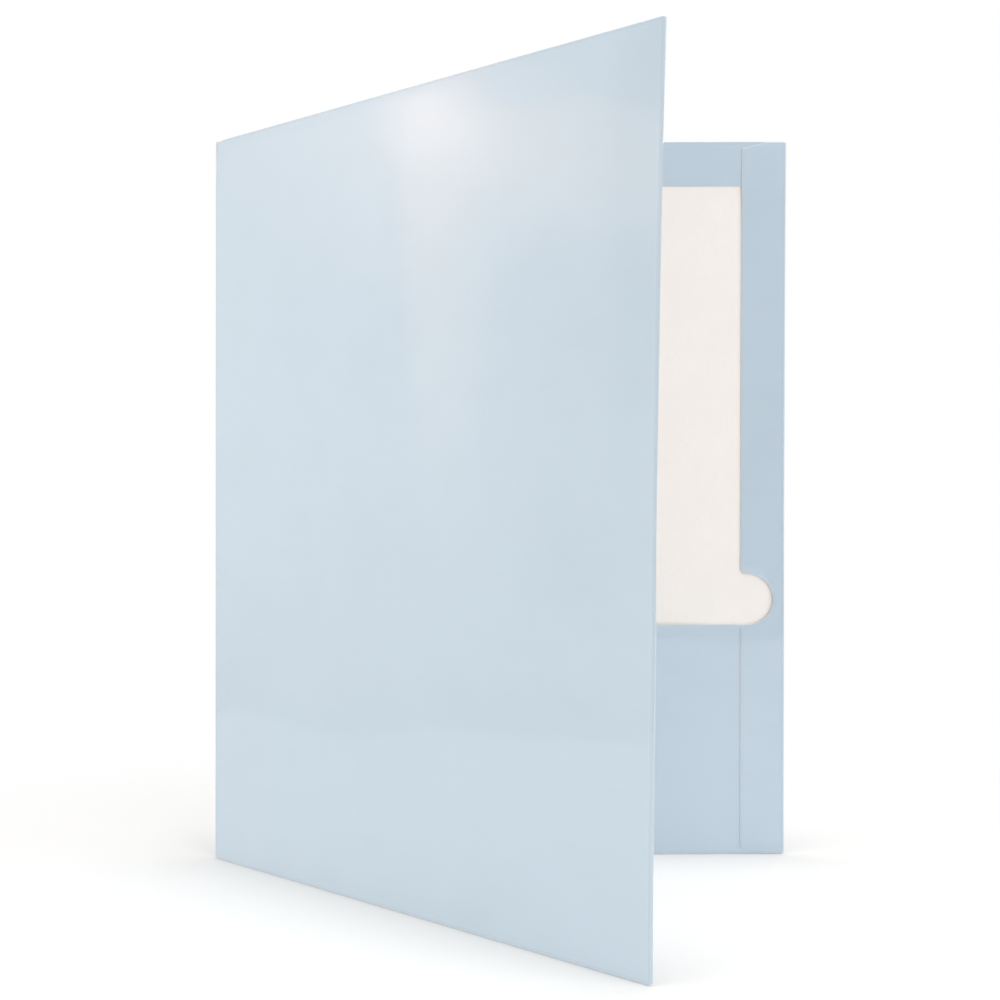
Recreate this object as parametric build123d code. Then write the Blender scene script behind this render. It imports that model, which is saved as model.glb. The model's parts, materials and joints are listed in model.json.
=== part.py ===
from build123d import *
import os

# Two pocket folder: one die-cut card, creased, folded and glued, standing open as a V.
# Millimetres, +Z up. Each leaf is drawn in X (away from the spine) and Z (up), with its
# depth counted from the inner face of the cover towards the reader. The standing leaf
# twists: its top edge runs straight out from the spine, and its foot splays outwards.

# Sizes of the finished folder
COVER_WIDTH = 241.3
COVER_HEIGHT = 304.8
CARD = 0.36
REST_OPENING = 44.0
SPLAY = 7.0

# Pocket along the bottom of each leaf
POCKET_HEIGHT = 98.8
POCKET_GAPE = 2.0
POCKET_SPINE_GAP = 4.0
POCKET_TAPER = 5.0
POCKET_CORNER_RADIUS = 6.0

# Hem along the top of each leaf
HEM_WIDTH = 19.0
HEM_SPINE_GAP = 4.0
HEM_TAPER = 3.0

# Flap down the fore-edge of each leaf, laid over the hem and the pocket
FLAP_WIDTH = 18.8
FLAP_MITRE_RUN = 10.5
FLAP_MITRE_DROP = 2.6

# Thumb notch in the inner edge of the flap, just above the pocket
NOTCH_RADIUS = 10.8
NOTCH_CENTRE_IN = 3.1
NOTCH_MOUTH_RADIUS = 2.7

# Gaps and clearances
SLOT = 0.20
GLUE_FILM = 0.08
CLOSING_ROOM = 1.20
FOLD_END_GAP = 0.30
CREASE_GAP = 0.03
POCKET_SIDE_GAP = 0.10

# Glue
GLUE_STRIP = 6.0
GLUE_MARGIN = 4.0
GLUE_DAB = 8.0

# Depths of the layers, counted inwards from the inner face of the cover
hem_depth = GLUE_FILM
pocket_depth = SLOT
flap_depth = SLOT + CARD + GLUE_FILM
stack_depth = flap_depth + CARD
spine_width = 2 * stack_depth + CLOSING_ROOM + CARD

# Outer radii of the three folds and where the flat cover stops short of them
top_radius = hem_depth / 2 + CARD
bottom_radius = pocket_depth / 2 + CARD
side_radius = flap_depth / 2 + CARD
cover_right = COVER_WIDTH - side_radius
cover_top = COVER_HEIGHT - top_radius
fold_right = cover_right - FOLD_END_GAP
flap_left = COVER_WIDTH - FLAP_WIDTH
glue_line = (flap_left + fold_right) / 2

# Slope of the leaf's foot, seen from above, which fades out towards its top
foot_slope = SPLAY / COVER_WIDTH
twist_height = cover_top - bottom_radius

# Hinge line of the pocket, half a card's thickness above the end of the bottom fold
pocket_axis_depth = pocket_depth + CARD / 2
pocket_axis_height = bottom_radius + CREASE_GAP + CARD / 2

# Place of the thumb notch: its lowest point is level with the lip of the pocket
notch_centre_x = flap_left + NOTCH_CENTRE_IN
notch_centre_z = POCKET_HEIGHT + NOTCH_RADIUS
notch_top = notch_centre_z + NOTCH_RADIUS
notch_mouth_radius = min(NOTCH_MOUTH_RADIUS, NOTCH_CENTRE_IN - CREASE_GAP)


def slope_at(height):
    """How far the leaf stands outwards at a height, for each millimetre from the spine."""
    return foot_slope * (cover_top - height) / twist_height


def layer(depth):
    """The twisted surface at one depth of the leaf, as wide and as high as the whole leaf."""
    foot = slope_at(0) * COVER_WIDTH - depth
    head = slope_at(COVER_HEIGHT) * COVER_WIDTH - depth
    spine_edge = [(0, -depth, 0), (0, -depth, COVER_HEIGHT)]
    fore_edge = [(COVER_WIDTH, foot, 0), (COVER_WIDTH, head, COVER_HEIGHT)]
    return Face.make_bezier_surface([spine_edge, fore_edge])


def sheet(outline, depth, thickness=CARD):
    """A twisted piece of card from its outline and the depth of its back face."""
    drawn = (Plane.XZ.offset(2 * stack_depth) * outline).face()
    back_face = drawn.project_to_shape(layer(depth), Vector(0, 1, 0))[0]
    return extrude(back_face, amount=thickness, dir=(0, -1, 0))


def polygon(*points):
    """A flat outline through points given as (X, Z)."""
    return make_face(Polyline(*points, close=True))


def rectangle(left, low, right, high):
    """An upright outline between two corners."""
    return polygon((left, low), (right, low), (right, high), (left, high))


def half_ring(gap):
    """Section of card bent right round a gap, opening downwards."""
    outer = gap / 2 + CARD
    upper_half = Rectangle(2 * outer, outer, align=(Align.CENTER, Align.MIN))
    return (Circle(outer) - Circle(gap / 2)) & upper_half


def level_fold(gap, left, height, turn):
    """A fold running away from the spine, at the top or the bottom of the cover."""
    slope = slope_at(height)
    plane = Plane(origin=(left, slope * left - gap / 2, height), x_dir=(0, 1, 0), z_dir=(1, 0, 0))
    along = Vector(fold_right - left, slope * (fold_right - left), 0)
    return extrude(plane * Rot(0, 0, turn) * half_ring(gap), amount=along.length, dir=along)


def side_fold():
    """The upright fold of the fore-edge, wide enough to clear the hem and the pocket."""
    out_at_foot = foot_slope * cover_right
    plane = Plane(origin=(cover_right, out_at_foot - flap_depth / 2, bottom_radius))
    along = Vector(0, -out_at_foot, twist_height)
    return extrude(plane * Rot(0, 0, -90) * half_ring(flap_depth), amount=along.length, dir=along)


def top_hem():
    """The strip turned down inside the top, its spine end cut at a slant."""
    low = COVER_HEIGHT - HEM_WIDTH
    outline = polygon(
        (HEM_SPINE_GAP, cover_top),
        (fold_right, cover_top),
        (fold_right, low),
        (HEM_SPINE_GAP + HEM_TAPER, low),
    )
    return sheet(outline, hem_depth)


def side_flap():
    """The fore-edge flap with mitred ends and the thumb notch."""
    low = bottom_radius
    high = cover_top
    mitre_x = flap_left + FLAP_MITRE_RUN
    outline = polygon(
        (cover_right, low),
        (mitre_x, low),
        (flap_left, low + FLAP_MITRE_DROP),
        (flap_left, high - FLAP_MITRE_DROP),
        (mitre_x, high),
        (cover_right, high),
    )
    mouth = Pos(notch_centre_x, notch_centre_z) * Rectangle(
        2 * NOTCH_CENTRE_IN, 2 * NOTCH_RADIUS, align=(Align.MAX, Align.CENTER)
    )
    outline -= mouth
    outline -= Pos(notch_centre_x, notch_centre_z) * Circle(NOTCH_RADIUS)
    inner_corners = outline.vertices().group_by(Axis.X)[0].sort_by(Axis.Y)
    return sheet(fillet(inner_corners[1:-1], notch_mouth_radius), flap_depth)


def pocket_edge():
    """The end of the pocket that is glued down under the flap."""
    return sheet(rectangle(flap_left, bottom_radius, fold_right, POCKET_HEIGHT), pocket_depth)


def pocket():
    """The free face of the pocket, with a rounded crease edge and one rounded corner."""
    right = flap_left - POCKET_SIDE_GAP
    outline = polygon(
        (POCKET_SPINE_GAP, pocket_axis_height),
        (right, pocket_axis_height),
        (right, POCKET_HEIGHT),
        (POCKET_SPINE_GAP + POCKET_TAPER, POCKET_HEIGHT),
    )
    spine_corner = outline.vertices().sort_by(Axis.Y)[-2:].sort_by(Axis.X)[0]
    face = sheet(fillet(spine_corner, POCKET_CORNER_RADIUS), pocket_depth)
    slope = slope_at(pocket_axis_height)
    hinge = Axis((0, -pocket_axis_depth, pocket_axis_height), (1, slope, 0))
    crease = Plane(
        origin=(POCKET_SPINE_GAP, slope * POCKET_SPINE_GAP - pocket_axis_depth, pocket_axis_height),
        x_dir=(0, 1, 0),
        z_dir=(1, 0, 0),
    )
    lower_half = Rectangle(CARD, CARD / 2, align=(Align.CENTER, Align.MAX))
    along = Vector(right - POCKET_SPINE_GAP, slope * (right - POCKET_SPINE_GAP), 0)
    nose = extrude(crease * (Circle(CARD / 2) & lower_half), amount=along.length, dir=along)
    return (face + nose).rotate(hinge, POCKET_GAPE)


def hem_glue():
    """The strip of glue that holds the hem down along its lower edge."""
    low = COVER_HEIGHT - HEM_WIDTH + GLUE_MARGIN / 2
    left = HEM_SPINE_GAP + HEM_TAPER + GLUE_MARGIN
    return sheet(rectangle(left, low, fold_right - GLUE_MARGIN, low + GLUE_STRIP), 0, GLUE_FILM)


def pocket_glue():
    """The strip of glue between the flap and the end of the pocket."""
    low = bottom_radius + GLUE_MARGIN
    high = POCKET_HEIGHT - GLUE_MARGIN
    strip = rectangle(glue_line - GLUE_STRIP / 2, low, glue_line + GLUE_STRIP / 2, high)
    return sheet(strip, pocket_depth + CARD, GLUE_FILM)


def flap_glue():
    """The thicker bead that holds the flap to the cover above the thumb notch."""
    low = notch_top + GLUE_MARGIN
    high = COVER_HEIGHT - HEM_WIDTH - GLUE_MARGIN
    bead = rectangle(glue_line - GLUE_STRIP / 2, low, glue_line + GLUE_STRIP / 2, high)
    return sheet(bead, 0, flap_depth)


def corner_glue():
    """The dab of glue where the flap crosses the end of the hem."""
    low = COVER_HEIGHT - (HEM_WIDTH + GLUE_DAB) / 2
    dab = rectangle(glue_line - GLUE_DAB / 2, low, glue_line + GLUE_DAB / 2, low + GLUE_DAB)
    return sheet(dab, hem_depth + CARD, flap_depth - hem_depth - CARD)


def leaf():
    """All the pieces of the back leaf, with its spine crease over the Z axis."""
    cover = rectangle(CARD / 2 + CREASE_GAP, bottom_radius, cover_right, cover_top)
    return {
        "cover": sheet(cover, -CARD),
        "top_fold": level_fold(hem_depth, HEM_SPINE_GAP, cover_top, 0),
        "top_hem": top_hem(),
        "side_fold": side_fold(),
        "side_flap": side_flap(),
        "bottom_fold": level_fold(pocket_depth, POCKET_SPINE_GAP, bottom_radius, 180),
        "pocket_edge": pocket_edge(),
        "pocket": pocket(),
        "hem_glue": hem_glue(),
        "pocket_glue": pocket_glue(),
        "flap_glue": flap_glue(),
        "corner_glue": corner_glue(),
    }


# The spine strip runs between the two creases, each a round edge in the middle of the card.
# The plane half way along it mirrors the back leaf to the front one.
fold_angle = 90 - REST_OPENING / 2
back_crease = Vector(0, CARD / 2, 0)
spine_direction = Vector(-1, 0, 0).rotate(Axis.Z, fold_angle)
spine_middle = back_crease + spine_direction * (spine_width / 2)
spine_section = Plane(origin=spine_middle + Vector(0, 0, bottom_radius), x_dir=spine_direction)
spine = extrude(spine_section * SlotCenterToCenter(spine_width, CARD), amount=cover_top - bottom_radius)

pieces = {"spine": spine}
for name, piece in leaf().items():
    pieces["back_" + name] = piece
    pieces["front_" + name] = mirror(piece, about=Plane(origin=spine_middle, z_dir=spine_direction))

# The origin goes to the middle of the standing folder, at floor level
box = Compound(list(pieces.values())).bounding_box()
to_origin = Pos(-(box.min.X + box.max.X) / 2, -(box.min.Y + box.max.Y) / 2, -box.min.Z)

os.makedirs("parts", exist_ok=True)
for name, piece in pieces.items():
    placed = to_origin * piece
    placed.label = name
    export_step(placed, f"parts/{name}.step")
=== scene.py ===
import json
import math
from contextlib import contextmanager

import bmesh
import bpy
from bpy.props import FloatProperty, FloatVectorProperty, IntProperty, PointerProperty
from mathutils import Matrix, Vector


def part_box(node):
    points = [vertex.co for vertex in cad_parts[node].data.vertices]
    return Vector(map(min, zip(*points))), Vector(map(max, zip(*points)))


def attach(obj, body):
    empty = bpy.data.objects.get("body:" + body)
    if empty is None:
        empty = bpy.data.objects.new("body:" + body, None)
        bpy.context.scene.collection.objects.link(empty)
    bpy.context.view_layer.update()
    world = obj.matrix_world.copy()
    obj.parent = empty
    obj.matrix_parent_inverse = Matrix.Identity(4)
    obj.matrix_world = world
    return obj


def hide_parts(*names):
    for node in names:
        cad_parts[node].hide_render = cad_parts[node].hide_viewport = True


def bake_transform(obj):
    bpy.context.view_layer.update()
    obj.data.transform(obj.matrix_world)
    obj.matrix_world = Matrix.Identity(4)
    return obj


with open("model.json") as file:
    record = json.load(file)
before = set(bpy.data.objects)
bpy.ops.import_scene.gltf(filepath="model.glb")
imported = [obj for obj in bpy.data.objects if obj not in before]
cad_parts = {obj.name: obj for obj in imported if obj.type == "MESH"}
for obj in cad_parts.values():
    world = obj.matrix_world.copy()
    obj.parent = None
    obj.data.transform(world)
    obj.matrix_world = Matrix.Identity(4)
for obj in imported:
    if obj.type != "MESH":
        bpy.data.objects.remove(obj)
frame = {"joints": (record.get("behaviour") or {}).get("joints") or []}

bl_info = {
    "name": "Two Pocket Folder",
    "version": (1, 0, 0),
    "blender": (4, 5, 0),
    "location": "View3D > Sidebar > Folder",
    "description": "A folded and glued card folder with two pockets, standing open",
    "category": "Add Mesh",
}

MM = 0.001

# Half the width of the line along which the hem and the flap turn back
TURN = 0.8 * MM

# Distances within which points are picked together, an outline is closed and points are merged
PICK_REACH = 0.005 * MM
CLOSING_REACH = 0.01 * MM
OUTLINE_MERGE = 0.002 * MM
FOLD_MERGE = 0.001 * MM

# Edges that turn by more than this stay sharp
SMOOTH_ANGLE = math.radians(25.0)

# Radius of the spine strip's long edges, as a share of the card's thickness
CREASE_ROUND = 0.495

# Radius of the glue's round corners, as a share of half the strip's width
GLUE_ROUND = 0.98

# Slight waves of the card: radians for each metre across and up, and where each wave starts
RIPPLES = ((75.0, 21.0, 0.6), (31.0, -58.0, 2.1), (14.0, 88.0, 4.0))
RIPPLE_RUN = 30.0 * MM

# Wave in the foot: its lengths, the height of its middle, its level far from the spine and where it fades
FOOT_LENGTH_ACROSS = 190.0 * MM
FOOT_LENGTH_UP = 200.0 * MM
FOOT_MIDDLE = 65.0 * MM
FOOT_FAR_LEVEL = 0.35
FOOT_FAR = (90.0 * MM, 175.0 * MM)
FOOT_START = (0.0, 30.0 * MM)
FOOT_END = (110.0 * MM, 170.0 * MM)
FOOT_RUN = 10.0 * MM

# Width of the camera's sensor in millimetres
SENSOR_WIDTH = 36.0

# Place, width and colour of each lamp, and the point that all of them look at
LAMPS = {
    "key": ((-1.3, -0.55, 0.20), 0.6, (1.0, 0.98, 0.95)),
    "fill": ((1.0, -0.9, 0.45), 1.6, (0.945, 0.985, 1.03)),
    "top": ((0.0, 0.0, 2.0), 0.5, (1.0, 1.0, 1.0)),
}
LAMP_AIM = Vector((0.0, 0.0, 0.15))

# Gap under the folder, and the distances between which the floor turns from paper to plain white
FLOOR_GAP = 0.1 * MM
FLOOR_FADE = (0.17, 0.42)

# Ends and height of the two screens
LEFT_SCREEN_ENDS = (-0.6, 0.6)
NEAR_SCREEN_ENDS = (-0.6, 0.9)
SCREEN_HEIGHT = 0.9

# Places and sizes from the frame, in metres. Depths come from the untwisted head and the pocket's hinge.
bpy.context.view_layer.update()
JOINTS = {joint["name"]: joint for joint in frame["joints"]}
BACK_CREASE = Vector(JOINTS["back_cover_swing"]["pos_m"])
FRONT_CREASE = Vector(JOINTS["front_cover_swing"]["pos_m"])
POCKET_HINGE = Vector(JOINTS["back_pocket_gape"]["pos_m"])
POCKET_AXIS = Vector(JOINTS["back_pocket_gape"]["axis"])
POCKET_GAPE = -math.radians(JOINTS["back_pocket_gape"]["range_deg"][0])
COVER_LOW, COVER_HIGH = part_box("back_cover")
HEM_LOW, HEM_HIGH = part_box("back_top_hem")
FLAP_LOW, FLAP_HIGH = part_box("back_side_flap")
EDGE_LOW, EDGE_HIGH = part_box("back_pocket_edge")
TOP_FOLD_LOW, TOP_FOLD_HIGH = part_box("back_top_fold")
SIDE_FOLD_LOW, SIDE_FOLD_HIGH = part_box("back_side_fold")
POCKET_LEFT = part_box("back_pocket")[0].x
LEAF_RIGHT = SIDE_FOLD_HIGH.x
LEAF_TOP = TOP_FOLD_HIGH.z
LEAF_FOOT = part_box("back_bottom_fold")[0].z
LEAF_WIDTH = LEAF_RIGHT - BACK_CREASE.x
LEAF_HEIGHT = LEAF_TOP - LEAF_FOOT
HINGE_SLOPE = POCKET_AXIS.y / POCKET_AXIS.x
COVER_MID = BACK_CREASE.y
CARD = 2 * (TOP_FOLD_HIGH.y - COVER_MID)
HEM_MID = TOP_FOLD_LOW.y + CARD / 2
FLAP_MID = SIDE_FOLD_LOW.y + CARD / 2
POCKET_MID = POCKET_HINGE.y - HINGE_SLOPE * (POCKET_HINGE.x - BACK_CREASE.x)
OUTWARD = Vector((0.0, 1.0, 0.0))
INWARD = Vector((0.0, -1.0, 0.0))

# Depth at the back and at the front of each strip of glue
GLUE_DEPTHS = {
    "hem_glue": (COVER_MID - CARD / 2, HEM_MID + CARD / 2),
    "pocket_glue": (POCKET_MID - CARD / 2, FLAP_MID + CARD / 2),
    "flap_glue": (COVER_MID - CARD / 2, FLAP_MID + CARD / 2),
    "corner_glue": (HEM_MID - CARD / 2, FLAP_MID + CARD / 2),
}


class FolderSizes(bpy.types.PropertyGroup):
    notch_radius: FloatProperty(
        name="Notch Radius", description="Radius of the thumb notch in the flap",
        default=10.8 * MM, unit="LENGTH")
    notch_centre_in: FloatProperty(
        name="Notch Centre", description="Centre of the notch, measured from the inner edge of the flap",
        default=3.1 * MM, unit="LENGTH")
    notch_mouth: FloatProperty(
        name="Notch Mouth", description="Radius of the two corners of the notch's mouth",
        default=2.7 * MM, unit="LENGTH")
    mitre_run: FloatProperty(
        name="Mitre Run", description="Length of the slanted ends of the flap",
        default=10.5 * MM, unit="LENGTH")
    mitre_drop: FloatProperty(
        name="Mitre Drop", description="Height of the slanted ends of the flap",
        default=2.6 * MM, unit="LENGTH")
    pocket_taper: FloatProperty(
        name="Pocket Taper", description="How far the pocket's lip stops short of its foot at the spine",
        default=5.0 * MM, unit="LENGTH")
    pocket_corner: FloatProperty(
        name="Pocket Corner", description="Radius of the free corner of the pocket",
        default=6.0 * MM, unit="LENGTH")
    hem_taper: FloatProperty(
        name="Hem Taper", description="Slant of the hem's end at the spine",
        default=3.0 * MM, unit="LENGTH")
    turned_back: FloatProperty(
        name="Turned Back", description="How far the hem and the flap lean back at the edge of the leaf",
        default=0.35 * MM, unit="LENGTH")
    top_roll: FloatProperty(
        name="Top Roll", description="Width of the strip that rolls over towards the top fold",
        default=4.6 * MM, unit="LENGTH")
    side_roll: FloatProperty(
        name="Side Roll", description="Width of the strip that rolls over towards the fore-edge fold",
        default=1.9 * MM, unit="LENGTH")
    top_slope: FloatProperty(
        name="Top Slope", description="Angle at which the top strip rolls back",
        default=math.radians(3.0), subtype="ANGLE")
    side_slope: FloatProperty(
        name="Side Slope", description="Angle at which the fore-edge strip rolls back",
        default=math.radians(1.4), subtype="ANGLE")
    bow: FloatProperty(
        name="Bow", description="How far the fore-edge of each leaf bows out half way up",
        default=1.1 * MM, unit="LENGTH")
    arris: FloatProperty(
        name="Arris", description="Width of the softened cut edge, where the white core shows",
        default=0.13 * MM, unit="LENGTH")
    wave: FloatProperty(
        name="Wave", description="Height of the slight waves in the standing card",
        default=0.06 * MM, unit="LENGTH")
    warp: FloatProperty(
        name="Warp", description="Steepest slope of the wave across the foot of each leaf", default=0.017)
    pressed: FloatProperty(
        name="Pressed",
        description="How far the flap is pressed towards the cover between the hem and the pocket",
        default=0.45 * MM, unit="LENGTH")
    slack: FloatProperty(
        name="Slack", description="Gap that stays between the flap and the card that it is pressed down on",
        default=0.04 * MM, unit="LENGTH")
    press_run: FloatProperty(
        name="Press Run",
        description="Length over which the flap comes down from the hem and from the pocket",
        default=16.0 * MM, unit="LENGTH")
    gape_span: FloatProperty(
        name="Gape Span", description="Length over which the pocket bows away from its glued end",
        default=115.0 * MM, unit="LENGTH")
    cut_step: FloatProperty(
        name="Cut Step", description="Distance between the cuts that let a card bend",
        default=6.0 * MM, unit="LENGTH")
    fold_steps: IntProperty(
        name="Fold Steps", description="Number of faces round a fold", default=10, min=4)
    arc_steps: IntProperty(
        name="Arc Steps", description="Number of edges in a quarter of a cut arc", default=12, min=4)


class FolderColours(bpy.types.PropertyGroup):
    coated: FloatVectorProperty(
        name="Coated Side", description="Pale blue glossy side of the card",
        subtype="COLOR", size=3, default=(0.518, 0.620, 0.702))
    uncoated: FloatVectorProperty(
        name="Uncoated Side", description="Cream matt side of the card",
        subtype="COLOR", size=3, default=(0.905, 0.855, 0.815))
    core: FloatVectorProperty(
        name="Core", description="White core of the card, which shows at cuts and worn folds",
        subtype="COLOR", size=3, default=(0.88, 0.87, 0.85))
    glue: FloatVectorProperty(
        name="Glue", description="Set glue", subtype="COLOR", size=3, default=(0.80, 0.72, 0.52))


class FolderStage(bpy.types.PropertyGroup):
    camera_place: FloatVectorProperty(
        name="Camera", description="Place of the camera, measured from the foot of the back crease",
        subtype="TRANSLATION", size=3, default=(0.123216, -0.653629, 0.150320))
    camera_turn: FloatProperty(
        name="Camera Turn", description="Turn of the camera to the left",
        default=math.radians(0.338), subtype="ANGLE")
    camera_tilt: FloatProperty(
        name="Camera Tilt", description="Tilt of the camera upwards",
        default=math.radians(0.161), subtype="ANGLE")
    lens: FloatProperty(name="Lens", description="Focal length in millimetres", default=55.126)
    floor_size: FloatProperty(name="Floor", description="Width of the floor", default=12.0, unit="LENGTH")
    floor_colour: FloatVectorProperty(
        name="Floor Colour", description="White floor", subtype="COLOR", size=3, default=(0.97, 0.96, 0.945))
    sky_light: FloatProperty(name="Sky Light", description="Level of the even light", default=0.65)
    key_light: FloatProperty(name="Key Light", description="Lamp at the left, in watts", default=5.7)
    fill_light: FloatProperty(name="Fill Light", description="Lamp at the right, in watts", default=10.4)
    top_light: FloatProperty(name="Top Light", description="Lamp straight above, in watts", default=12.5)
    left_screen: FloatProperty(
        name="Left Screen", description="Place of the screen that the front cover reflects",
        default=-0.55, unit="LENGTH")
    near_screen: FloatProperty(
        name="Near Screen", description="Place of the screen that the back leaf reflects",
        default=-0.62, unit="LENGTH")


class Value:
    """A shader value. Arithmetic on it adds Math nodes to its tree."""

    def __init__(self, nodes, socket):
        self.nodes = nodes
        self.socket = socket

    def calc(self, operation, first, second):
        return self.nodes.node("ShaderNodeMath", {"operation": operation}, {0: first, 1: second})

    def __add__(self, other):
        return self.calc("ADD", self, other)

    def __radd__(self, other):
        return self.calc("ADD", other, self)

    def __sub__(self, other):
        return self.calc("SUBTRACT", self, other)

    def __rsub__(self, other):
        return self.calc("SUBTRACT", other, self)

    def __mul__(self, other):
        return self.calc("MULTIPLY", self, other)

    def __rmul__(self, other):
        return self.calc("MULTIPLY", other, self)

    def lower(self, other):
        return self.calc("MINIMUM", self, other)

    def higher(self, other):
        return self.calc("MAXIMUM", self, other)

    def rise(self, start, end):
        """0 before start, 1 after end, and a smooth slope between them."""
        return self.nodes.node(
            "ShaderNodeMapRange", {"interpolation_type": "SMOOTHSTEP"},
            {"Value": self, "From Min": start, "From Max": end})


class Nodes:
    """A tree of shader nodes."""

    def __init__(self, tree):
        self.tree = tree
        self.tree.nodes.clear()

    def node(self, kind, settings=None, inputs=None, output=0):
        """Adds a node, sets it up, fills its sockets with values or links, and gives one of its outputs."""
        made = self.tree.nodes.new(kind)
        for key, value in (settings or {}).items():
            setattr(made, key, value)
        for key, value in (inputs or {}).items():
            if isinstance(value, Value):
                self.tree.links.new(value.socket, made.inputs[key])
            else:
                made.inputs[key].default_value = value
        return Value(self, made.outputs[output]) if made.outputs else None

    def leaf_place(self):
        """Distance from the spine and height above the foot of the leaf, in metres."""
        place = self.node("ShaderNodeUVMap", {"uv_map": "leaf"})
        across = self.node("ShaderNodeSeparateXYZ", None, {"Vector": place}, "X")
        up = self.node("ShaderNodeSeparateXYZ", None, {"Vector": place}, "Y")
        return across * LEAF_WIDTH, up * LEAF_HEIGHT

    def noise(self, scale, detail=2.0, stretch=(1.0, 1.0, 1.0)):
        place = self.node("ShaderNodeTexCoord", None, None, "Object")
        place = self.node("ShaderNodeMapping", None, {"Vector": place, "Scale": stretch})
        return self.node("ShaderNodeTexNoise", None, {"Vector": place, "Scale": scale, "Detail": detail})

    def mix(self, factor, first, second):
        """A colour between two colours."""
        return self.node("ShaderNodeMix", {"data_type": "RGBA"}, {0: factor, 6: first, 7: second}, 2)

    def bump(self, height):
        """A normal from a height in metres."""
        return self.node("ShaderNodeBump", None, {"Strength": 1.0, "Distance": 1.0, "Height": height})

    def surface(self, shader):
        self.node("ShaderNodeOutputMaterial", None, {"Surface": shader})


def new_nodes(name):
    """A new material with an empty tree."""
    material = bpy.data.materials.new(name)
    material.use_nodes = True
    return material, Nodes(material.node_tree)


def shade(colour, gain=1.0):
    return tuple(min(1.0, channel * gain) for channel in colour) + (1.0,)


def coated_card(colours, name):
    """Glossy pale blue coating. Along the folds it is painted a little deeper, as painted shade, with a thin
    pale line of painted highlight beside it, and it just begins to crack."""
    material, nodes = new_nodes(name)
    across, up = nodes.leaf_place()
    fold = across.lower(LEAF_WIDTH - across).lower(up).lower(LEAF_HEIGHT - up)
    # Painted shade along the folds, and a painted highlight in a thin pale line beside them
    stretch = 1.0 - fold.rise(1.1 * MM, 1.7 * MM)
    crease = fold.rise(1.2 * MM, 1.7 * MM) * (1.0 - fold.rise(1.7 * MM, 2.3 * MM))
    cracks = nodes.noise(1600.0, 3.0)
    wear = (1.0 - fold.rise(0.1 * MM, 0.7 * MM)) * cracks.rise(0.50, 0.72) * 0.12
    mottle = nodes.noise(38.0, 4.0)
    streak = nodes.noise(160.0, 3.0, (0.12, 0.12, 1.0))
    fibre = nodes.noise(1500.0, 3.0)
    tint = nodes.mix(mottle.rise(0.3, 0.7), shade(colours.coated, 0.99), shade(colours.coated, 1.01))
    tint = nodes.mix(streak.rise(0.35, 0.7) * 0.5, tint, shade(colours.coated, 1.012))
    tint = nodes.mix(fibre.rise(0.45, 0.75) * 0.10, tint, shade(colours.coated, 1.05))
    # Painted shade along the folds, then the painted highlight beside them
    tint = nodes.mix(stretch * 0.7, tint, shade(colours.coated, 0.955))
    tint = nodes.mix(crease * 0.5, tint, shade(colours.coated, 1.035))
    tint = nodes.mix(wear, tint, shade(colours.core))
    height = nodes.noise(2200.0) * (0.003 * MM) + streak * (0.004 * MM)
    gloss = 0.30 + nodes.noise(60.0, 3.0) * 0.06 + wear * 0.3
    nodes.surface(nodes.node("ShaderNodeBsdfPrincipled", None, {
        "Base Color": tint, "Roughness": gloss, "IOR": 1.5,
        "Coat Weight": 1.0, "Coat Roughness": 0.02, "Normal": nodes.bump(height)}))
    return material


def uncoated_card(colours, name):
    """Cream uncoated side, with short fibres."""
    material, nodes = new_nodes(name)
    fibre = nodes.noise(700.0, 5.0, (1.0, 1.0, 0.35))
    cloud = nodes.noise(55.0, 4.0)
    speck = nodes.noise(1300.0, 1.0)
    tint = nodes.mix(cloud.rise(0.3, 0.7), shade(colours.uncoated, 0.992), shade(colours.uncoated, 1.006))
    tint = nodes.mix(fibre.rise(0.35, 0.75) * 0.3, tint, shade(colours.uncoated, 0.955))
    tint = nodes.mix(speck.rise(0.68, 0.78) * 0.25, tint, (0.70, 0.62, 0.50, 1.0))
    height = fibre * (0.012 * MM) + nodes.noise(2600.0) * (0.004 * MM)
    nodes.surface(nodes.node("ShaderNodeBsdfPrincipled", None, {
        "Base Color": tint, "Roughness": 0.82 + fibre * 0.1, "IOR": 1.45, "Normal": nodes.bump(height)}))
    return material


def cut_core(colours, name):
    """White core of the card where it is cut."""
    material, nodes = new_nodes(name)
    layers = nodes.noise(1800.0, 4.0, (0.3, 1.0, 0.3))
    tint = nodes.mix(layers.rise(0.3, 0.7), shade(colours.core, 0.93), shade(colours.core, 1.03))
    nodes.surface(nodes.node("ShaderNodeBsdfPrincipled", None, {
        "Base Color": tint, "Roughness": 0.85 + layers * 0.1, "Normal": nodes.bump(layers * (0.02 * MM))}))
    return material


def set_glue(colours, name):
    """Set glue, wavy and a little shiny."""
    material, nodes = new_nodes(name)
    flow = nodes.noise(240.0, 3.0)
    tint = nodes.mix(flow.rise(0.3, 0.7), shade(colours.glue, 0.9), shade(colours.glue, 1.08))
    nodes.surface(nodes.node("ShaderNodeBsdfPrincipled", None, {
        "Base Color": tint, "Roughness": 0.28 + flow * 0.15, "Normal": nodes.bump(flow * (0.06 * MM))}))
    return material


FINISHES = {
    "coated_card": coated_card,
    "uncoated_card": uncoated_card,
    "cut_core": cut_core,
    "set_glue": set_glue,
}


def finish_named(name):
    """One of the folder's finishes, made the first time it is asked for."""
    made = bpy.data.materials.get(name)
    return made or FINISHES[name](bpy.context.scene.folder_colours, name)


def activate(piece):
    bpy.ops.object.select_all(action="DESELECT")
    piece.select_set(True)
    bpy.context.view_layer.objects.active = piece


@contextmanager
def editing(piece):
    """Edit mode on one piece, with nothing in it selected."""
    activate(piece)
    bpy.ops.object.mode_set(mode="EDIT")
    bpy.ops.mesh.select_mode(type="VERT")
    bpy.ops.mesh.select_all(action="DESELECT")
    yield
    bpy.ops.object.mode_set(mode="OBJECT")


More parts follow.
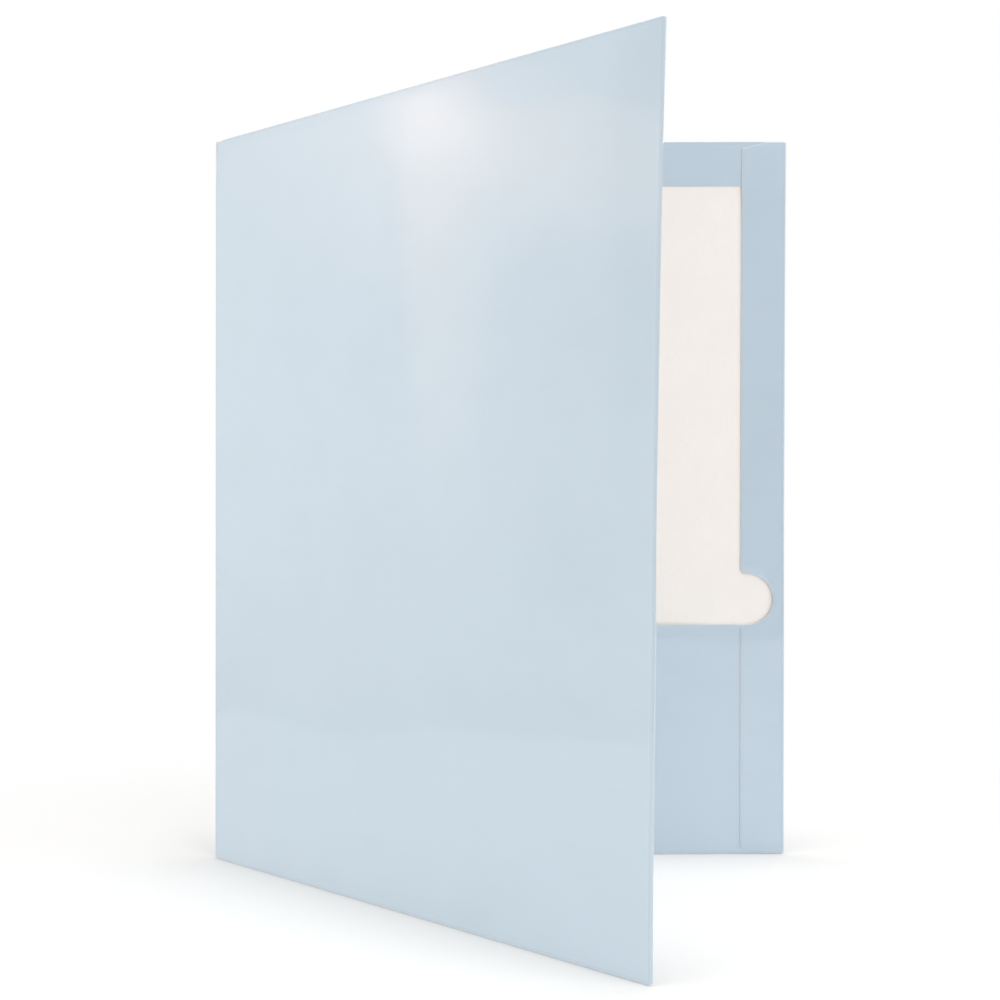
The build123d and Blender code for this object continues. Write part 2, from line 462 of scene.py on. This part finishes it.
def pick(piece, test):
    """Selects the vertices whose place passes a test."""
    mesh = bmesh.from_edit_mesh(piece.data)
    for vertex in mesh.verts:
        vertex.select_set(test(vertex.co))
    mesh.select_flush(True)
    bmesh.update_edit_mesh(piece.data)


def near(value, target):
    return abs(value - target) < PICK_REACH


def line(x, z):
    """A straight cut to a point."""
    return ("line", Vector((x, z)), 0.0)


def arc(x, z, turn):
    """A round cut about a centre, positive from X towards Z."""
    return ("arc", Vector((x, z)), turn)


def cut_out(name, depth, start, strokes):
    """A flat sheet at a depth in Y. Its outline is drawn from a start point by lines and arcs, and ends
    where it starts."""
    bpy.ops.object.select_all(action="DESELECT")
    bpy.ops.mesh.primitive_plane_add(size=MM, location=(start[0], depth, start[1]))
    piece = bpy.context.active_object
    piece.name = name
    piece.data.name = name
    bpy.ops.object.transform_apply(location=True, rotation=True, scale=True)
    quarter = bpy.context.scene.folder_sizes.arc_steps
    here = Vector(start)
    with editing(piece):
        bpy.ops.mesh.select_all(action="SELECT")
        bpy.ops.mesh.merge(type="CENTER")
        for kind, point, turn in strokes:
            if kind == "line":
                step = point - here
                bpy.ops.mesh.extrude_region_move(TRANSFORM_OT_translate={"value": (step.x, 0.0, step.y)})
                here = point
            else:
                steps = max(2, round(quarter * abs(turn) / (math.pi / 2)))
                bpy.ops.mesh.spin(
                    steps=steps, angle=turn, center=(point.x, depth, point.y), axis=(0.0, 1.0, 0.0))
                here = point + Matrix.Rotation(turn, 2) @ (here - point)
        if (here - Vector(start)).length > CLOSING_REACH:
            raise RuntimeError("the outline of " + name + " doesn't close")
        bpy.ops.mesh.select_all(action="SELECT")
        bpy.ops.mesh.remove_doubles(threshold=OUTLINE_MERGE)
        bpy.ops.mesh.edge_face_add()
    return piece


def score(piece, low, high, axis, step):
    """Cuts a sheet into even strips along one axis, so that it can bend."""
    count = max(1, round((high - low) / step))
    along = Vector((1.0, 0.0, 0.0)) if axis == "X" else Vector((0.0, 0.0, 1.0))
    with editing(piece):
        for strip in range(1, count):
            bpy.ops.mesh.select_all(action="SELECT")
            bpy.ops.mesh.bisect(plane_co=along * (low + (high - low) * strip / count), plane_no=along)


def score_both(piece, left, right, low, high):
    """Cuts a sheet both ways, and close beside the edges of the flap and the hem, where the leaf turns
    back."""
    sizes = bpy.context.scene.folder_sizes
    score(piece, left, right, "X", sizes.cut_step)
    score(piece, low, high, "Z", sizes.cut_step)
    for place in (FLAP_LOW.x, LEAF_RIGHT - sizes.side_roll):
        score(piece, place - 3 * TURN, place + 3 * TURN, "X", 2 * TURN)
    for place in (HEM_LOW.z, LEAF_TOP - sizes.top_roll):
        score(piece, place - 3 * TURN, place + 3 * TURN, "Z", 2 * TURN)


def fold_over(piece, test, centre, axis, turn):
    """Carries an edge of the sheet round a fold."""
    steps = bpy.context.scene.folder_sizes.fold_steps
    with editing(piece):
        pick(piece, test)
        bpy.ops.mesh.spin(steps=steps, angle=turn, center=centre, axis=axis)
        bpy.ops.mesh.select_all(action="SELECT")
        bpy.ops.mesh.remove_doubles(threshold=FOLD_MERGE)


def turn_faces(piece, outer):
    """Makes the coated side of the flat part look one way, and the rest follow it."""
    with editing(piece):
        bpy.ops.mesh.select_all(action="SELECT")
        bpy.ops.mesh.normals_make_consistent(inside=False)
    widest = max(piece.data.polygons, key=lambda face: face.area)
    if widest.normal.dot(outer) < 0:
        with editing(piece):
            bpy.ops.mesh.select_all(action="SELECT")
            bpy.ops.mesh.flip_normals()


def thicken(piece, thickness, finishes):
    """Gives a sheet its thickness and its finishes: the coated side, the side behind it and the cut edge."""
    for name in finishes:
        piece.data.materials.append(finish_named(name))
    activate(piece)
    wall = piece.modifiers.new("thickness", "SOLIDIFY")
    wall.thickness = thickness
    wall.offset = 0.0
    wall.use_even_offset = True
    wall.material_offset = 1
    wall.material_offset_rim = 2
    bpy.ops.object.modifier_apply(modifier=wall.name)


def soften_cuts(piece):
    """Takes the sharpness off the cut edges of the coated side, but not off the joint of a fold and its
    cover."""
    with editing(piece):
        bpy.ops.mesh.select_mode(type="EDGE")
        mesh = bmesh.from_edit_mesh(piece.data)
        for edge in mesh.edges:
            finishes = sorted(face.material_index for face in edge.link_faces)
            inside = all(vertex.co.y < COVER_MID for vertex in edge.verts)
            edge.select_set(finishes == [0, 2] and inside)
        bmesh.update_edit_mesh(piece.data)
        bpy.ops.mesh.bevel(
            offset=bpy.context.scene.folder_sizes.arris, segments=2, affect="EDGES", material=2)


def map_piece(piece, across):
    """A map of each point's distance across, from a function of its place, and of its height, both as shares
    of the leaf."""
    layer = piece.data.uv_layers.new(name="leaf")
    for loop in piece.data.loops:
        place = piece.data.vertices[loop.vertex_index].co
        layer.data[loop.index].uv = (across(place) / LEAF_WIDTH, (place.z - LEAF_FOOT) / LEAF_HEIGHT)


def map_leaf(piece):
    """A map of the piece's place on its leaf: spine to fore-edge, and foot to head."""
    map_piece(piece, lambda place: place.x - BACK_CREASE.x)


def slope_at(height):
    """How far the twisted leaf stands outwards at a height, for each metre from the spine."""
    height = min(max(height, COVER_LOW.z), COVER_HIGH.z)
    return HINGE_SLOPE * (COVER_HIGH.z - height) / (COVER_HIGH.z - POCKET_HINGE.z)


def ramp(distance):
    """0 before a line and the distance after it, with a soft turn between them."""
    if distance < -TURN:
        return 0.0
    return distance if distance > TURN else (distance + TURN) ** 2 / (4 * TURN)


def ripple(across, up):
    """Slight waves of the card, from -1 to 1, which die out towards the spine."""
    waves = [math.sin(across * side + up * rise + start) for side, rise, start in RIPPLES]
    return sum(waves) / len(waves) * min(1.0, across / RIPPLE_RUN)


def ease(value, start, end):
    """0 before start, 1 after end, and a smooth slope between them."""
    share = min(1.0, max(0.0, (value - start) / (end - start)))
    return share * share * (3.0 - 2.0 * share)


def foot_wave(across, up):
    """A longer wave in the foot of the leaf, for a slope of 1. It is strongest near the spine."""
    calm = ease(across, *FOOT_FAR)
    swell = FOOT_FAR_LEVEL * calm - (1.0 - calm) * math.cos(2 * math.pi * across / FOOT_LENGTH_ACROSS)
    length = FOOT_LENGTH_UP / (2 * math.pi)
    height = length * math.sin((up - FOOT_MIDDLE) / length)
    height *= ease(up, *FOOT_START) * (1.0 - ease(up, *FOOT_END))
    return -swell * height * min(1.0, across / FOOT_RUN)


def press(sizes, place):
    """How far a point of the flap, or of the glue under it, is pressed down on what lies under it: the hem,
    the cover below the hem, and the pocket."""
    cover_face, hem_face, pocket_face = (middle - CARD / 2 for middle in (COVER_MID, HEM_MID, POCKET_MID))
    flap_back = FLAP_MID + CARD / 2
    on_hem = hem_face - flap_back - sizes.slack
    on_pocket = pocket_face - flap_back - sizes.slack
    below_hem = ease(HEM_LOW.z - place.z, 0.0, sizes.press_run)
    above_pocket = ease(place.z - EDGE_HIGH.z - 2 * sizes.notch_radius, -sizes.press_run, sizes.press_run)
    room = on_hem + (sizes.pressed - on_hem) * below_hem
    room = on_pocket + (room - on_pocket) * above_pocket
    under = cover_face
    if place.z > HEM_LOW.z - TURN:
        under = hem_face
    elif place.z < EDGE_HIGH.z + TURN:
        under = pocket_face
    return room * min(1.0, max(0.0, (under - place.y) / (under - flap_back)))


def lean(sizes, place):
    """How far the hem and the flap lean in towards their folds. The flap's part dies out towards the top
    fold, which stays straight, so that the corner leaves room for the other leaf when the folder is shut."""
    top_lean, side_lean = math.tan(sizes.top_slope), math.tan(sizes.side_slope)
    hem = sizes.turned_back * ramp(place.z - HEM_LOW.z) / (LEAF_TOP - HEM_LOW.z)
    hem += top_lean * ramp(place.z - LEAF_TOP + sizes.top_roll)
    flap = sizes.turned_back * ramp(place.x - FLAP_LOW.x) / (LEAF_RIGHT - FLAP_LOW.x)
    flap += side_lean * ramp(place.x - LEAF_RIGHT + sizes.side_roll)
    at_top = sizes.turned_back + top_lean * sizes.top_roll
    return hem + flap * (1.0 - hem / at_top)


def stand(piece):
    """Bends a piece of the back leaf as the standing card bends: it twists and bows, its hem and its flap
    lean back a little and roll over towards their folds, and it isn't quite flat."""
    sizes = bpy.context.scene.folder_sizes
    for vertex in piece.data.vertices:
        place = vertex.co
        across, up = place.x - BACK_CREASE.x, place.z - LEAF_FOOT
        bow = sizes.bow * across / LEAF_WIDTH * math.sin(math.pi * up / LEAF_HEIGHT)
        twist = slope_at(place.z) * across
        waves = sizes.wave * ripple(across, up) + sizes.warp * foot_wave(across, up)
        place.y += press(sizes, place) + bow + twist + waves - lean(sizes, place)


def smooth(piece):
    """Smooth shading round the folds and arcs, and not over the softened cut edges."""
    activate(piece)
    bpy.ops.object.shade_smooth_by_angle(angle=SMOOTH_ANGLE)


def mirror_plane():
    """The reflection in the plane half way between the creases, which takes the back leaf to the front."""
    normal = (FRONT_CREASE - BACK_CREASE).normalized()
    middle = (FRONT_CREASE + BACK_CREASE) / 2
    reflect = Matrix.Scale(-1.0, 4, normal)
    return Matrix.Translation(middle) @ reflect @ Matrix.Translation(-middle)


def front_copy(piece, name):
    """The same piece on the front leaf, with its own mesh."""
    activate(piece)
    bpy.ops.object.duplicate()
    copy = bpy.context.active_object
    copy.name = name
    copy.data.name = name
    copy.data.transform(mirror_plane())
    with editing(copy):
        bpy.ops.mesh.select_all(action="SELECT")
        bpy.ops.mesh.flip_normals()
    return copy


def seat(piece, body, nodes):
    """Makes a piece ride on a body in place of its nodes."""
    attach(piece, body)
    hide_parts(*nodes)


def seat_pair(piece, part, nodes):
    """Seats a piece on the back leaf and a mirrored copy of it on the front leaf."""
    copy = front_copy(piece, "front_" + part)
    seat(piece, "back_leaf", ["back_" + node for node in nodes])
    seat(copy, "front_leaf", ["front_" + node for node in nodes])


CARD_FINISHES = ("coated_card", "uncoated_card", "cut_core")
GLUE_FINISHES = ("set_glue", "set_glue", "set_glue")


class FOLDER_OT_covers(bpy.types.Operator):
    """Makes the two covers"""
    bl_idname = "folder.covers"
    bl_label = "Covers"

    def execute(self, context):
        left, right = BACK_CREASE.x, COVER_HIGH.x
        low, high = COVER_LOW.z, COVER_HIGH.z
        strokes = [line(right, low), line(right, high), line(left, high), line(left, low)]
        piece = cut_out("back_cover_card", COVER_MID, (left, low), strokes)
        score_both(piece, left, right, low, high)
        turn_faces(piece, OUTWARD)
        thicken(piece, CARD, CARD_FINISHES)
        map_leaf(piece)
        stand(piece)
        smooth(piece)
        seat_pair(piece, "cover_card", ["cover"])
        return {"FINISHED"}


class FOLDER_OT_spine(bpy.types.Operator):
    """Makes the narrow strip between the two creases of the spine"""
    bl_idname = "folder.spine"
    bl_label = "Spine"

    def execute(self, context):
        along = FRONT_CREASE - BACK_CREASE
        left, right = BACK_CREASE.x - along.length, BACK_CREASE.x
        low, high = COVER_LOW.z, COVER_HIGH.z
        strokes = [line(right, low), line(right, high), line(left, high), line(left, low)]
        piece = cut_out("spine_card", BACK_CREASE.y, (left, low), strokes)
        score(piece, left, right, "X", along.length / 4)
        score(piece, low, high, "Z", context.scene.folder_sizes.cut_step)
        turn_faces(piece, OUTWARD)
        thicken(piece, CARD, CARD_FINISHES)
        map_piece(piece, lambda place: min(place.x - left, right - place.x))
        self.round_creases(piece, left, right)
        smooth(piece)
        turn = Matrix.Rotation(math.atan2(-along.y, -along.x), 4, "Z")
        piece.data.transform(Matrix.Translation(BACK_CREASE) @ turn @ Matrix.Translation(-BACK_CREASE))
        seat(piece, "spine_strip", ["spine"])
        return {"FINISHED"}

    def round_creases(self, piece, left, right):
        """Rounds the two long edges of the strip about the creases."""
        with editing(piece):
            pick(piece, lambda place: near(place.x, left))
            bpy.ops.transform.translate(value=(-CARD / 2, 0.0, 0.0))
            bpy.ops.mesh.select_all(action="DESELECT")
            pick(piece, lambda place: near(place.x, right))
            bpy.ops.transform.translate(value=(CARD / 2, 0.0, 0.0))
            bpy.ops.mesh.select_mode(type="EDGE")
            mesh = bmesh.from_edit_mesh(piece.data)
            for edge in mesh.edges:
                first, second = (vertex.co for vertex in edge.verts)
                upright = near(first.x, second.x) and near(first.y, second.y)
                outermost = near(first.x, left - CARD / 2) or near(first.x, right + CARD / 2)
                edge.select_set(upright and outermost)
            bmesh.update_edit_mesh(piece.data)
            bpy.ops.mesh.bevel(offset=CARD * CREASE_ROUND, segments=5, affect="EDGES")


class FOLDER_OT_hems(bpy.types.Operator):
    """Makes the hems that are turned down inside the top of each leaf"""
    bl_idname = "folder.hems"
    bl_label = "Top Hems"

    def execute(self, context):
        slant = context.scene.folder_sizes.hem_taper
        left, right = HEM_LOW.x, HEM_HIGH.x
        low, high = HEM_LOW.z, HEM_HIGH.z
        strokes = [line(right, low), line(right, high), line(left, high), line(left + slant, low)]
        piece = cut_out("back_hem_card", HEM_MID, (left + slant, low), strokes)
        score_both(piece, left, right, low, high)
        fold_over(
            piece, lambda place: near(place.z, high),
            (0.0, (HEM_MID + COVER_MID) / 2, high), (1.0, 0.0, 0.0), math.pi)
        turn_faces(piece, INWARD)
        thicken(piece, CARD, CARD_FINISHES)
        soften_cuts(piece)
        map_leaf(piece)
        stand(piece)
        smooth(piece)
        seat_pair(piece, "hem_card", ["top_hem", "top_fold"])
        return {"FINISHED"}


class FOLDER_OT_flaps(bpy.types.Operator):
    """Makes the side flaps with their thumb notches"""
    bl_idname = "folder.flaps"
    bl_label = "Side Flaps"

    def execute(self, context):
        left, right = FLAP_LOW.x, FLAP_HIGH.x
        low, high = FLAP_LOW.z, FLAP_HIGH.z
        piece = cut_out("back_flap_card", FLAP_MID, (right, low), self.outline(context.scene.folder_sizes))
        score_both(piece, left, right, low, high)
        fold_over(
            piece, lambda place: near(place.x, right),
            (right, (FLAP_MID + COVER_MID) / 2, 0.0), (0.0, 0.0, 1.0), -math.pi)
        turn_faces(piece, INWARD)
        thicken(piece, CARD, CARD_FINISHES)
        soften_cuts(piece)
        map_leaf(piece)
        stand(piece)
        smooth(piece)
        seat_pair(piece, "flap_card", ["side_flap", "side_fold"])
        return {"FINISHED"}

    def outline(self, sizes):
        """From the lower fore-edge corner round the mitred foot, the notch and the mitred head."""
        left, right = FLAP_LOW.x, FLAP_HIGH.x
        low, high = FLAP_LOW.z, FLAP_HIGH.z
        mouth = sizes.notch_mouth
        notch_x = left + sizes.notch_centre_in
        notch_low = EDGE_HIGH.z
        notch_z = notch_low + sizes.notch_radius
        notch_high = notch_z + sizes.notch_radius
        quarter = math.pi / 2
        return [
            line(left + sizes.mitre_run, low),
            line(left, low + sizes.mitre_drop),
            line(left, notch_low - mouth),
            arc(left + mouth, notch_low - mouth, -quarter),
            line(notch_x, notch_low),
            arc(notch_x, notch_z, 2 * quarter),
            line(left + mouth, notch_high),
            arc(left + mouth, notch_high + mouth, -quarter),
            line(left, high - sizes.mitre_drop),
            line(left + sizes.mitre_run, high),
            line(right, high),
            line(right, low),
        ]


class FOLDER_OT_pockets(bpy.types.Operator):
    """Makes the pockets along the foot of each leaf"""
    bl_idname = "folder.pockets"
    bl_label = "Pockets"

    def execute(self, context):
        sizes = context.scene.folder_sizes
        left, right = POCKET_LEFT, EDGE_HIGH.x
        low, high = EDGE_LOW.z, EDGE_HIGH.z
        piece = cut_out("back_pocket_card", POCKET_MID, (left, low), self.outline(sizes))
        score_both(piece, left, right, low, high)
        fold_over(
            piece, lambda place: near(place.z, low),
            (0.0, (POCKET_MID + COVER_MID) / 2, low), (1.0, 0.0, 0.0), -math.pi)
        turn_faces(piece, INWARD)
        thicken(piece, CARD, CARD_FINISHES)
        soften_cuts(piece)
        map_leaf(piece)
        stand(piece)
        seam = FLAP_LOW.x
        self.gape(piece, seam, sizes.gape_span)
        smooth(piece)
        copy = front_copy(piece, "front_pocket_card")
        start = Vector((seam, POCKET_MID, 0.0))
        end = Vector((seam - sizes.gape_span, POCKET_MID, 0.0))
        mirror = mirror_plane()
        self.seat(piece, "back", start, end)
        self.seat(copy, "front", mirror @ start, mirror @ end)
        return {"FINISHED"}

    def outline(self, sizes):
        """From the foot at the spine, round the glued end and along the lip to the free corner."""
        left, right = POCKET_LEFT, EDGE_HIGH.x
        low, high = EDGE_LOW.z, EDGE_HIGH.z
        slope = math.atan2(sizes.pocket_taper, high - low)
        radius = sizes.pocket_corner
        reach = radius * math.tan((math.pi / 2 - slope) / 2)
        corner = left + sizes.pocket_taper
        return [
            line(right, low),
            line(right, high),
            line(corner + reach, high),
            arc(corner + reach, high - radius, math.pi / 2 - slope),
            line(left, low),
        ]

    def gape(self, piece, seam, span):
        """Swings the pocket out about its hinge, little by little from the glued end."""
        for vertex in piece.data.vertices:
            turn = POCKET_GAPE * ease(seam - vertex.co.x, 0.0, span)
            if vertex.co.z > POCKET_HINGE.z:
                swing = Matrix.Rotation(turn, 3, POCKET_AXIS)
                vertex.co = POCKET_HINGE + swing @ (vertex.co - POCKET_HINGE)

    def seat(self, piece, leaf, start, end):
        """Bakes the piece's place into its mesh and hides the leaf's pocket, pocket edge and bottom fold."""
        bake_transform(piece)
        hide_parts(leaf + "_pocket", leaf + "_pocket_edge", leaf + "_bottom_fold")


class FOLDER_OT_glue(bpy.types.Operator):
    """Makes the strips and dabs of glue between the layers of card"""
    bl_idname = "folder.glue"
    bl_label = "Glue"

    def execute(self, context):
        for part, (back, front) in GLUE_DEPTHS.items():
            low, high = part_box("back_" + part)
            radius = min(high.x - low.x, high.z - low.z) / 2 * GLUE_ROUND
            piece = cut_out(
                "back_" + part + "_bead", (back + front) / 2, (low.x + radius, low.z),
                self.outline(low, high, radius))
            score_both(piece, low.x, high.x, low.z, high.z)
            turn_faces(piece, INWARD)
            thicken(piece, back - front, GLUE_FINISHES)
            stand(piece)
            smooth(piece)
            seat_pair(piece, part + "_bead", [part])
        return {"FINISHED"}

    def outline(self, low, high, radius):
        """A strip with round ends."""
        quarter = math.pi / 2
        return [
            line(high.x - radius, low.z),
            arc(high.x - radius, low.z + radius, quarter),
            line(high.x, high.z - radius),
            arc(high.x - radius, high.z - radius, quarter),
            line(low.x + radius, high.z),
            arc(low.x + radius, high.z - radius, quarter),
            line(low.x, low.z + radius),
            arc(low.x + radius, low.z + radius, quarter),
        ]


class FOLDER_OT_stage(bpy.types.Operator):
    """Makes the camera, the floor and the light"""
    bl_idname = "folder.stage"
    bl_label = "Stage"

    def execute(self, context):
        stage = context.scene.folder_stage
        context.scene.view_settings.view_transform = "Standard"
        bpy.ops.object.select_all(action="DESELECT")
        foot = Vector((BACK_CREASE.x, BACK_CREASE.y, 0.0))
        bpy.ops.object.camera_add(
            location=foot + Vector(stage.camera_place),
            rotation=(math.pi / 2 + stage.camera_tilt, 0.0, stage.camera_turn))
        camera = context.active_object
        camera.data.sensor_width = SENSOR_WIDTH
        camera.data.lens = stage.lens
        context.scene.camera = camera
        self.floor(stage)
        self.world(context, stage)
        self.lamp("key", stage.key_light)
        self.lamp("fill", stage.fill_light)
        self.lamp("top", stage.top_light)
        self.left_screen(stage)
        self.near_screen(stage)
        return {"FINISHED"}

    def floor(self, stage):
        """A white floor that shows the folder's shadow near it, and is plain white further off."""
        bpy.ops.object.select_all(action="DESELECT")
        bpy.ops.mesh.primitive_plane_add(size=stage.floor_size, location=(0.0, 0.0, -FLOOR_GAP))
        floor = bpy.context.active_object
        floor.name = "floor"
        material, nodes = new_nodes("floor_white")
        place = nodes.node("ShaderNodeTexCoord", None, None, "Object")
        away = nodes.node("ShaderNodeVectorMath", {"operation": "LENGTH"}, {0: place}, "Value")
        shown = self.shown(nodes, away.rise(*FLOOR_FADE))
        paper = nodes.node("ShaderNodeBsdfDiffuse", None, {"Color": shade(stage.floor_colour)})
        white = nodes.node("ShaderNodeEmission", None, {"Color": (1.0, 1.0, 1.0, 1.0), "Strength": 1.0})
        nodes.surface(nodes.node("ShaderNodeMixShader", None, {0: shown, 1: paper, 2: white}))
        floor.data.materials.append(material)

    def screen(self, name, low, high):
        """A glowing screen beside the table, out of the picture, that shows only in the gloss of the card.
        No lamp lights it: its glow is painted, and the card shows it as a painted reflection.
        """
        bpy.ops.object.select_all(action="DESELECT")
        bpy.ops.mesh.primitive_plane_add(size=1.0)
        screen = bpy.context.active_object
        screen.name = name
        corners = [(end.x, end.y, height) for height in (low.z, high.z) for end in (low, high)]
        for vertex, corner in zip(screen.data.vertices, corners):
            vertex.co = corner
        screen.visible_camera = False
        screen.visible_diffuse = False
        screen.visible_transmission = False
        screen.visible_shadow = False
        material, nodes = new_nodes(name + "_cloth")
        screen.data.materials.append(material)
        place = nodes.node("ShaderNodeTexCoord", None, None, "Object")
        return nodes, [nodes.node("ShaderNodeSeparateXYZ", None, {"Vector": place}, axis) for axis in "XYZ"]

    def tinted(self, nodes, colour, level):
        return nodes.node("ShaderNodeVectorMath", {"operation": "SCALE"}, {0: colour, "Scale": level})

    def added(self, nodes, first, second):
        return nodes.node("ShaderNodeVectorMath", {"operation": "ADD"}, {0: first, 1: second})

    def glow(self, nodes, colour):
        nodes.surface(nodes.node("ShaderNodeEmission", None, {"Color": colour, "Strength": 1.0}))

    def left_screen(self, stage):
        """The glowing screen that the front cover reflects. No lamp lights it: its glow is painted, with a
        warm painted highlight high up in its middle, and the cover's gloss shows it as a painted reflection.
        """
        near_end, far_end = LEFT_SCREEN_ENDS
        nodes, (_, y, z) = self.screen(
            "left_screen", Vector((stage.left_screen, near_end, 0.0)),
            Vector((stage.left_screen, far_end, SCREEN_HEIGHT)))
        place = nodes.node("ShaderNodeCombineXYZ", None, {"X": 0.0, "Y": y, "Z": z})
        away, halo = (
            nodes.node("ShaderNodeVectorMath", {"operation": "DISTANCE"}, {0: place, 1: middle}, "Value")
            for middle in ((0.0, 0.004, 0.437), (0.0, 0.024, 0.487)))
        # Painted shade in the screen's glow: darker towards its end at low Y, in a patch there lower down,
        # and along a slanting band high up
        dusk = (1.0 - y.rise(-0.165, -0.09)) * z.rise(0.0, 0.30)
        painted_dark_band = (z + y * 0.42).rise(0.462, 0.485) * y.rise(-0.05, 0.03)
        painted_glow = 0.46 + 0.22 * y.rise(-0.12, 0.12) + 0.24 * z.rise(0.0, 0.22) + 0.22 * z.rise(-0.02, 0.09)
        painted_dark_patch = (1.0 - y.rise(-0.085, -0.015)) * z.rise(0.03, 0.14) * (1.0 - z.rise(0.335, 0.42))
        painted_glow = painted_glow - 0.55 * dusk - 0.15 * painted_dark_band - 0.45 * painted_dark_patch
        # Painted highlight in the screen's glow: a warm spot with a bloom and a halo, an amber streak below
        # it and an amber glow at its side
        bloom = (1.0 - away.rise(0.0, 0.16)) * (0.72 + 0.43 * y.rise(-0.08, 0.02))
        painted_highlight = bloom + (1.0 - away.rise(0.0, 0.06)) * 1.50 + (1.0 - halo.rise(0.0, 0.055)) * 1.55
        beam = y.rise(-0.045, 0.004) * (1.0 - y.rise(0.016, 0.030)) * z.rise(0.10, 0.32)
        wing = (1.0 - y.rise(-0.05, 0.02)) * z.rise(0.335, 0.425) * (1.0 - z.rise(0.452, 0.478))
        # The painted shade and the painted highlight, added together into the screen's glow
        cool = self.tinted(nodes, (1.0, 0.95, 0.93), painted_glow)
        warm = self.tinted(nodes, (1.0, 0.74, 0.62), painted_highlight)
        amber = self.tinted(nodes, (1.0, 0.50, 0.20), beam * 0.75 + wing * 0.80)
        self.glow(nodes, self.added(nodes, self.added(nodes, cool, warm), amber))

    def near_screen(self, stage):
        """The dim glowing screen behind the camera that the back leaf reflects. No lamp lights it: its glow
        is a painted reflection in the back leaf's gloss.
        """
        left_end, right_end = NEAR_SCREEN_ENDS
        nodes, (_, _, z) = self.screen(
            "near_screen", Vector((left_end, stage.near_screen, 0.0)),
            Vector((right_end, stage.near_screen, SCREEN_HEIGHT)))
        # Painted reflection: a dim glow, a little brighter higher up
        self.glow(nodes, self.tinted(nodes, (0.90, 0.95, 1.0), 0.14 + 0.10 * z.rise(0.15, 0.45)))

    def shown(self, nodes, plain=1.0):
        """1 for a ray that shows the background itself, in a mirror or through glass too. The camera sees
        it only where it is plain, and the object's shadow elsewhere."""
        seen = [nodes.node("ShaderNodeLightPath", None, None, name)
                for name in ("Is Camera Ray", "Is Glossy Ray", "Is Transmission Ray")]
        return (seen[0] * plain).higher(seen[1]).higher(seen[2])

    def world(self, context, stage):
        world = bpy.data.worlds.new("studio")
        world.use_nodes = True
        context.scene.world = world
        nodes = Nodes(world.node_tree)
        seen = self.shown(nodes)
        level = seen + (1.0 - seen) * stage.sky_light
        back = nodes.node("ShaderNodeBackground", None, {"Color": (1.0, 1.0, 1.0, 1.0), "Strength": level})
        nodes.node("ShaderNodeOutputWorld", None, {"Surface": back})

    def lamp(self, name, power):
        """A soft square lamp that looks at the middle of the folder."""
        place, size, colour = LAMPS[name]
        aim = LAMP_AIM - Vector(place)
        bpy.ops.object.select_all(action="DESELECT")
        bpy.ops.object.light_add(
            type="AREA", location=place, rotation=aim.to_track_quat("-Z", "Y").to_euler())
        lamp = bpy.context.active_object
        lamp.name = name
        lamp.data.size = size
        lamp.data.energy = power
        lamp.data.color = colour


class FOLDER_PT_panel(bpy.types.Panel):
    """Lists the steps that make the folder"""
    bl_idname = "FOLDER_PT_panel"
    bl_label = "Two Pocket Folder"
    bl_space_type = "VIEW_3D"
    bl_region_type = "UI"
    bl_category = "Folder"

    def draw(self, context):
        for operator in OPERATORS:
            self.layout.operator(operator.bl_idname)
        for group in (context.scene.folder_sizes, context.scene.folder_colours, context.scene.folder_stage):
            column = self.layout.column()
            for name in group.__annotations__:
                column.prop(group, name)


OPERATORS = (
    FOLDER_OT_covers,
    FOLDER_OT_spine,
    FOLDER_OT_hems,
    FOLDER_OT_flaps,
    FOLDER_OT_pockets,
    FOLDER_OT_glue,
    FOLDER_OT_stage,
)
GROUPS = {
    "folder_sizes": FolderSizes,
    "folder_colours": FolderColours,
    "folder_stage": FolderStage,
}


def register():
    for group in GROUPS.values():
        bpy.utils.register_class(group)
    for operator in OPERATORS:
        bpy.utils.register_class(operator)
    bpy.utils.register_class(FOLDER_PT_panel)
    for name, group in GROUPS.items():
        setattr(bpy.types.Scene, name, PointerProperty(type=group))


def unregister():
    for name in GROUPS:
        delattr(bpy.types.Scene, name)
    bpy.utils.unregister_class(FOLDER_PT_panel)
    for operator in reversed(OPERATORS):
        bpy.utils.unregister_class(operator)
    for group in GROUPS.values():
        bpy.utils.unregister_class(group)


def main():
    register()
    bpy.ops.folder.covers()
    bpy.ops.folder.spine()
    bpy.ops.folder.hems()
    bpy.ops.folder.flaps()
    bpy.ops.folder.pockets()
    bpy.ops.folder.glue()
    bpy.ops.folder.stage()


if __name__ == "__main__":
    main()
